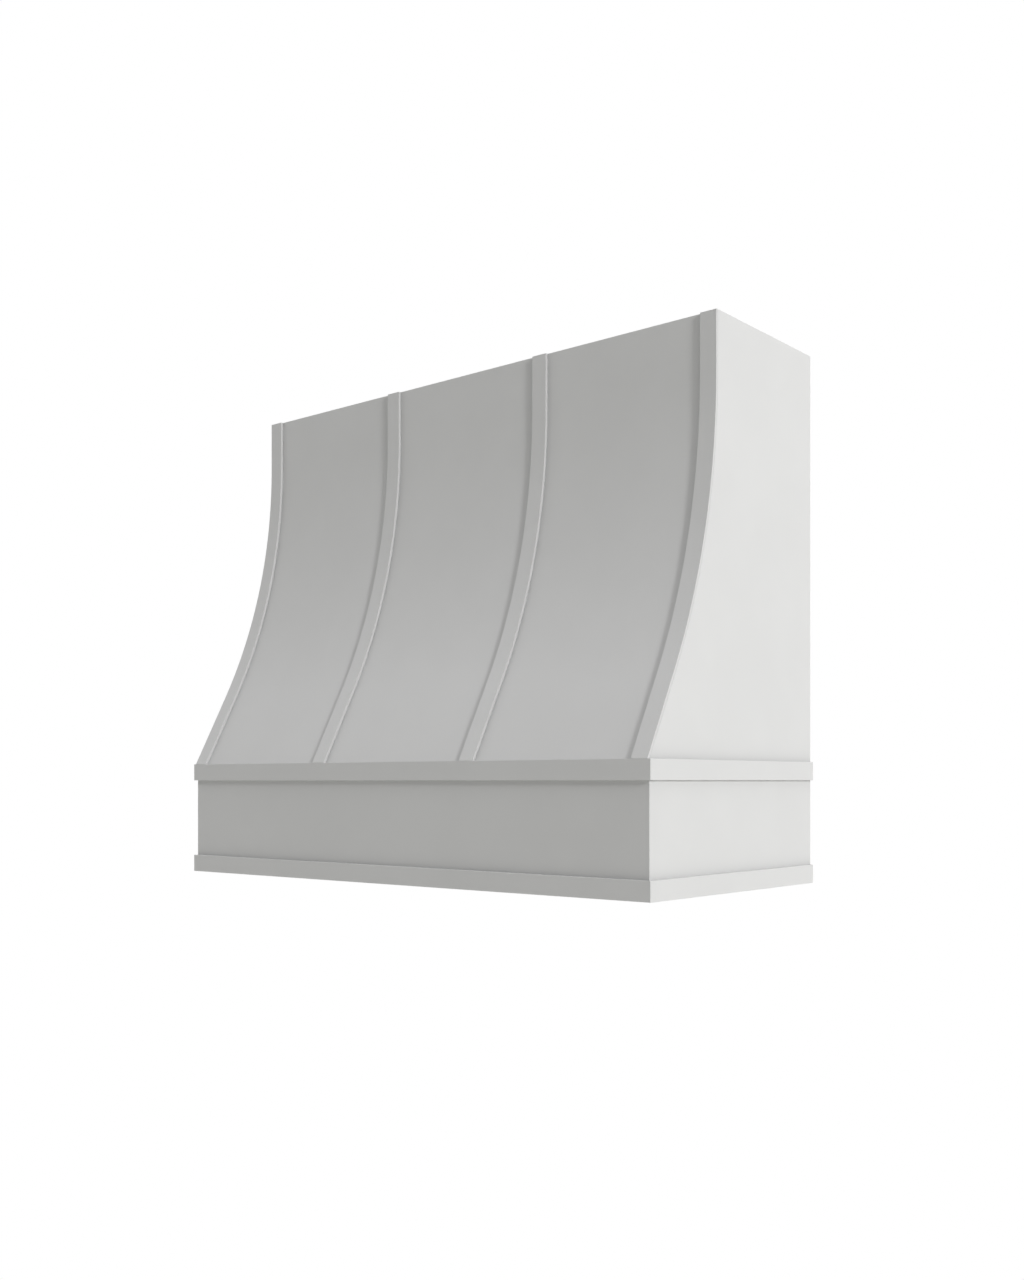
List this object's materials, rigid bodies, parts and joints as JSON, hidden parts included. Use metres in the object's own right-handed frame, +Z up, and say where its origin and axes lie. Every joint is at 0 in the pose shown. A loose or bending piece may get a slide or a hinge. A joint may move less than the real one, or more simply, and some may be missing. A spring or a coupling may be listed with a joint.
{
  "type": "wooden range hood cover",
  "caption": "Wall-hung wooden range hood cover with a swept front, flat straps and two mitred bands, open below, behind and at the top.",
  "frame": {"origin": "middle of the back's bottom edge, on the wall plane", "axes": "+X to the right along the wall as seen from the front, +Y into the wall, +Z up"},
  "size_m": [1.0772, 0.5005, 0.9144],
  "materials": {
    "painted_wood": "satin paint over fine-grained wood and fibreboard",
    "raw_plywood": "raw plywood, sanded",
    "raw_softwood": "planed softwood",
    "zinc_screw": "zinc-plated"
  },
  "bodies": {
    "root": {"left_side_panel": "painted_wood", "right_side_panel": "painted_wood", "swept_skin": "painted_wood", "apron_board": "painted_wood", "upper_band_front": "painted_wood", "upper_band_left": "painted_wood", "upper_band_right": "painted_wood", "lower_band_front": "painted_wood", "lower_band_left": "painted_wood", "lower_band_right": "painted_wood", "left_end_strap": "painted_wood", "left_inner_strap": "painted_wood", "right_inner_strap": "painted_wood", "right_end_strap": "painted_wood", "left_rib": "raw_plywood", "right_rib": "raw_plywood", "base_stretcher": "raw_plywood", "top_front_rail": "raw_plywood", "top_back_rail": "raw_plywood", "lower_back_rail": "raw_plywood", "insert_shelf": "raw_plywood", "left_cleat": "raw_softwood", "right_cleat": "raw_softwood", "front_cleat": "raw_softwood", "back_cleat": "raw_softwood", "left_corner_block": "raw_softwood", "right_corner_block": "raw_softwood", "pocket_screws": "zinc_screw", "cleat_screws": "zinc_screw", "shelf_screws": "zinc_screw", "rib_screws": "zinc_screw"}
  },
  "joints": []
}
